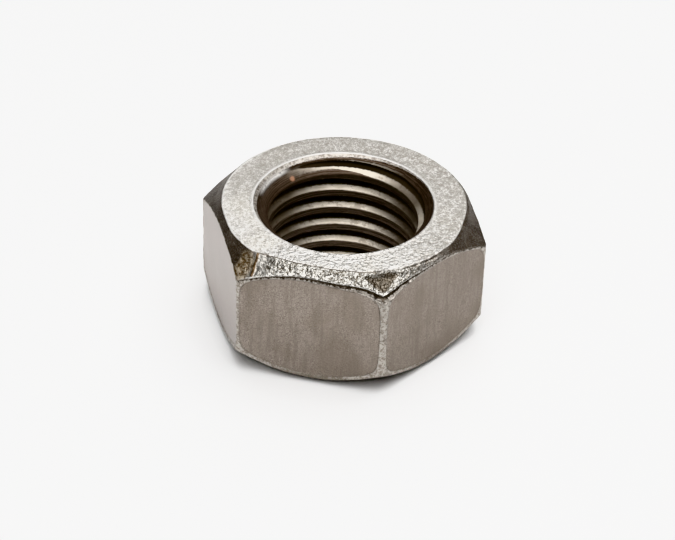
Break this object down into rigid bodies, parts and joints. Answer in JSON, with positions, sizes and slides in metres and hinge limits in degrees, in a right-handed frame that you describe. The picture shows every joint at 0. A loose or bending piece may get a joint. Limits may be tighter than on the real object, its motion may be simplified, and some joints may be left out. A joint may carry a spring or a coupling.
{
  "type": "hex nut",
  "caption": "Plain hexagon nut in bare steel with both faces chamfered, a countersunk bore and a coarse right-hand metric thread.",
  "frame": {"origin": "centre of the bottom bearing face, on the thread's axis", "axes": "+Z along the thread's axis to the other bearing face, +X through a corner of the hexagon, +Y square to a pair of flats"},
  "size_m": [0.0276, 0.024, 0.0124],
  "materials": {
    "steel": "bare satin steel, warm grey, with rough bright burrs and brown heat and rust stains"
  },
  "bodies": {
    "root": {"hex_nut": "steel"}
  },
  "joints": []
}
